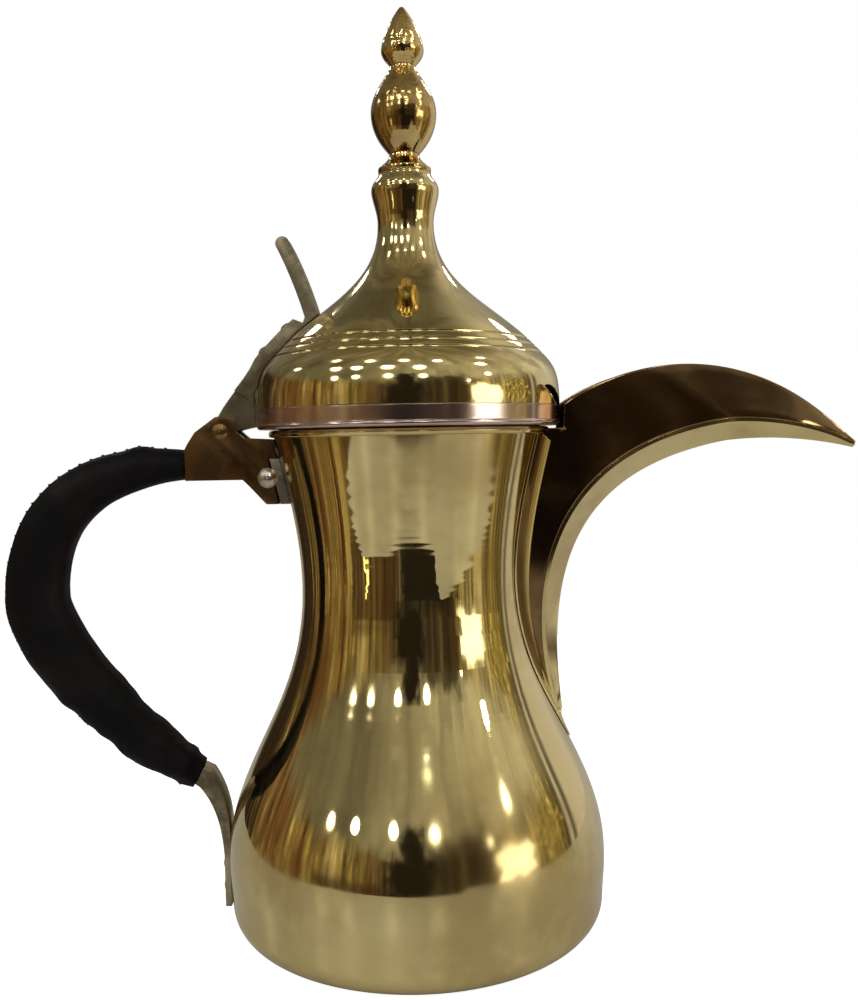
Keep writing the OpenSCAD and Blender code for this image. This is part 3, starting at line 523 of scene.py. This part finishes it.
# ---- Finial ----
# Three turned pieces threaded on a rod, which a nut pulls down through the lid's crown.
# They are cast, and small dents stay in the metal, most of them above the bulb's middle.
finial_brass = polished("finial_brass", (0.64, 0.47, 0.19), (0.36, 0.24, 0.09), gloss=0.06)
nodes = Nodes(finial_brass.node_tree)
shader = finial_brass.node_tree.nodes["Principled BSDF"]
under = Value(nodes.tree, shader.inputs["Normal"].links[0].from_socket)
height = nodes.node("SeparateXYZ", {}, {0: nodes.place()}, "Z")
few_dents, many_dents = 266 * MM, 272 * MM
dents = nodes.noise(nodes.place(), 520, detail=2, roughness=0.4)
dents = dents * (nodes.between(height, few_dents, many_dents) * 0.85 + 0.15)
feed(nodes.tree, shader.inputs["Normal"], nodes.bump(dents, 230e-6, under))
for name in ("finial_collar", "finial_bulb", "finial_tip"):
    piece = turned(name, name.removeprefix("finial_"))
    dress(piece, name, finial_brass)
for node in ("finial_rod", "finial_washer", "finial_nut"):
    frame["nodes"][node].material_slots[0].material = dull_brass

# ---- Studio ----
# The pot stands on a white table in a room, which the polished metal shows: brown walls, a
# window to the right, a ceiling with small round lamps, and a person in front. Straight to
# the camera the room is white, and one more lamp, which no metal shows, lights the table.
bpy.ops.object.select_all(action="DESELECT")
# The table top's corners in metres, from behind the pot round by the grip to the window
table_outline = ((0.0, 0.5), (-0.31, 0.5), (-0.305, -0.31), (-0.15, -0.37), (-0.06, -0.36),
                 (0.15, -0.36), (0.2, -0.45), (0.42, -0.75), (0.4, 0.5))
bpy.ops.mesh.primitive_circle_add(vertices=len(table_outline), radius=2, fill_type="NGON")
table = bpy.context.active_object
table.name = "table"
starts = [vertex.co.copy() for vertex in table.data.vertices]
bpy.ops.object.mode_set(mode="EDIT")
for start, corner in zip(starts, table_outline):
    select_points(table, lambda point: (point - start).length < 0.01)
    bpy.ops.transform.translate(value=Vector((*corner, 0)) - start)
bpy.ops.object.mode_set(mode="OBJECT")
white_table, nodes, shader = finish("white_table", (0.6, 0.585, 0.56), 0.3, metallic=0.0)
rays = white_table.node_tree.nodes.new("ShaderNodeLightPath")
shader.inputs["Emission Color"].default_value = (1, 1, 1, 1)
feed(nodes.tree, shader.inputs["Emission Strength"],
     Value(nodes.tree, rays.outputs["Is Camera Ray"]) * 0.9)
table.data.materials.append(white_table)

lamp_height = 1.8
# Each lamp's way round, in degrees from the front towards the spout, how far from the pot's
# axis it hangs, and its radius, both in metres
lamps = ((-56, 4.8, 0.22), (-39, 4.3, 0.22), (-14, 4.0, 0.22), (12, 4.2, 0.22), (64, 4.2, 0.2),
         (46, 6.5, 0.15), (-100, 3.0, 0.19), (-60, 2.5, 0.19), (-42, 2.25, 0.19),
         (-16, 2.1, 0.19), (10, 2.2, 0.19), (66, 2.0, 0.19), (150, 2.4, 0.19),
         (-150, 2.4, 0.19), (-75, 1.35, 0.1), (-38, 1.2, 0.1), (-3, 1.1, 0.1), (30, 1.25, 0.1),
         (80, 1.3, 0.1))
lamp_glow = 8
for around, away, radius in lamps:
    lamp_data = bpy.data.lights.new("ceiling_lamp", "AREA")
    lamp_data.shape = "DISK"
    lamp_data.size = 2 * radius
    lamp_data.energy = lamp_glow * (math.pi * radius) ** 2
    lamp = bpy.data.objects.new("ceiling_lamp", lamp_data)
    lamp.location = (away * math.sin(math.radians(around)),
                     -away * math.cos(math.radians(around)), lamp_height)
    lamp.rotation_euler = lamp.location.to_track_quat("Z", "Y").to_euler()
    bpy.context.scene.collection.objects.link(lamp)

# The soft light that falls in from the window
window_data = bpy.data.lights.new("window", "AREA")
window_data.size = 0.6
window_data.energy = 1.0
window = bpy.data.objects.new("window", window_data)
window.location = (0.75, -0.15, 0.55)
window.visible_glossy = False
bpy.context.scene.collection.objects.link(window)

world = bpy.data.worlds.new("room")
world.use_nodes = True
bpy.context.scene.world = world
room = Nodes(world.node_tree)
background = world.node_tree.nodes["Background"]
look = room.node("TexCoord", {}, {}, "Generated")
parts = world.node_tree.nodes.new("ShaderNodeSeparateXYZ")
feed(room.tree, parts.inputs[0], look)
x, y, z = (Value(room.tree, part) for part in parts.outputs)
# Each direction's way round the room, 0 at the front and 90 at the spout's side, and its
# rise above level, both in degrees
turn = room.node("Math", {"operation": "ARCTAN2"}, {0: x, 1: 0 - y}) * math.degrees(1)
rise = room.node("Math", {"operation": "ARCSINE"}, {0: z}) * math.degrees(1)
dark = (0.03, 0.02, 0.013)
brown = (0.13, 0.085, 0.045)
rust = (0.12, 0.06, 0.028)
gold = (0.30, 0.235, 0.105)
cream = (0.55, 0.47, 0.30)
grey = (0.27, 0.245, 0.19)
pale = (0.70, 0.66, 0.64)
# The wall's colours by their way round
wall_colours = ((-180, grey), (-156, grey), (-148, dark), (-124, dark), (-112, brown),
                (-92, rust), (-80, gold), (-77, rust), (-71, rust), (-67, gold), (-56, brown),
                (-51, cream), (-46, gold), (-38, gold), (-26, brown), (13, grey), (16, dark),
                (20, grey), (23, dark), (27, cream), (31, dark), (36, brown), (46, gold),
                (72, cream), (80, gold), (99, gold), (103, dark), (107, pale), (110, dark),
                (114, pale), (138, pale), (160, grey))
walls = room.node("ValToRGB", {"stops": [((place + 180) / 360, colour)
                                         for place, colour in wall_colours]},
                  {"Fac": (turn + 180) / 360})
across = room.node("CombineXYZ", {}, {0: turn, 1: rise * 0.05})
panels = room.between(room.noise(across, 0.3, detail=3, roughness=0.7), 0.35, 0.65) * 1.5 + 0.25
panels = panels * (1.35 - room.between(turn, -80, -45) * 0.35)
panels = panels + room.between(turn, 100, 112) * (1 - panels)
wall_light = room.node("VectorMath", {"operation": "SCALE"}, {0: walls, "Scale": panels})
# The ceiling is dim to the left, bright near the window and dim again overhead
ceiling = room.mix(room.between(turn, -70, 60), (0.19, 0.18, 0.145), (0.57, 0.54, 0.46))
ceiling = room.mix(room.between(turn, 96, 118), ceiling, pale)
ceiling = room.mix(room.between(turn, 130, 158), ceiling, (0.4, 0.38, 0.33))
overhead = room.mix(room.between(y, -0.2, 0.2), (0.3, 0.265, 0.19), (0.16, 0.145, 0.105))
ceiling = room.mix(room.between(rise, 42, 70), ceiling, overhead)
# From here on every outline in the room wavers a little, as in hand-beaten brass
waver = room.noise(room.node("CombineXYZ", {}, {0: turn, 1: rise}), 0.13, detail=4)
turn = turn + (waver - 0.5) * 18
rise = rise + (waver - 0.5) * 12
clouds = room.noise(room.node("CombineXYZ", {}, {0: turn, 1: rise * 0.5}), 0.06, detail=3)
ceiling = room.node("VectorMath", {"operation": "SCALE"},
                    {0: ceiling, "Scale": room.between(clouds, 0.3, 0.7) * 0.7 + 0.65})
sides = room.mix(room.between(rise, 12, 20), wall_light, ceiling)


def patch(left, right, low, high, soft):
    """Where a direction lies between two ways round and two rises, all in degrees."""
    return (room.between(turn, left - soft, left + soft)
            * room.between(turn, right + soft, right - soft)
            * room.between(rise, low - soft, low + soft)
            * room.between(rise, high + soft, high - soft))


# Brassware on the shelves glitters on both sides
glitter = room.noise(room.node("CombineXYZ", {}, {0: turn, 1: rise * 1.5}), 0.5, detail=3)
glitter = room.between(glitter, 0.56, 0.62) * patch(74, 100, -3, 14, 4)
sides = room.mix(glitter, sides, (1.6, 1.4, 0.6))
glints = room.between(room.noise(across, 1.1, detail=2), 0.58, 0.66) * patch(-125, -42, -30, 15, 6)
sides = room.mix(glints * 0.7, sides, (1.1, 0.85, 0.38))

curtain, curtain_colour = patch(8, 46, -60, 20, 3), (0.05, 0.035, 0.022)
sides = room.mix(curtain * 0.85, sides, curtain_colour)
cupboard, cupboard_colour = patch(-62, -14, -26, 0, 3), (0.07, 0.036, 0.018)
sides = room.mix(cupboard * 0.75, sides, cupboard_colour)
chest_and_arms, head = patch(-16, 11, -8, 13, 4), patch(-8, 5, 10, 25, 2)
legs, clothes = patch(-10, 40, -60, -6, 3), (0.022, 0.018, 0.014)
person = 1 - ((1 - chest_and_arms) * (1 - head) * (1 - legs))
sides = room.mix(person, sides, clothes)
tube, tube_light = patch(-48, -45.5, -22, -9, 0.8), (3, 2.4, 1.2)
sides = room.mix(tube, sides, tube_light)
pane, daylight = patch(48, 72, -4, 10, 1.5), (3.2, 3.1, 2.9)
sides = room.mix(pane, sides, daylight)

# Mirrored rays meet the room, scattered ones an even grey, and the camera plain white
rays = world.node_tree.nodes.new("ShaderNodeLightPath")
seen = Value(room.tree, rays.outputs["Is Camera Ray"])
scattered = Value(room.tree, rays.outputs["Is Diffuse Ray"])
lit = room.mix(scattered, sides, (0.55, 0.55, 0.55))
feed(room.tree, background.inputs["Color"], room.mix(seen, lit, (1, 1, 1)))

scene = bpy.context.scene
scene.view_settings.view_transform = "Standard"
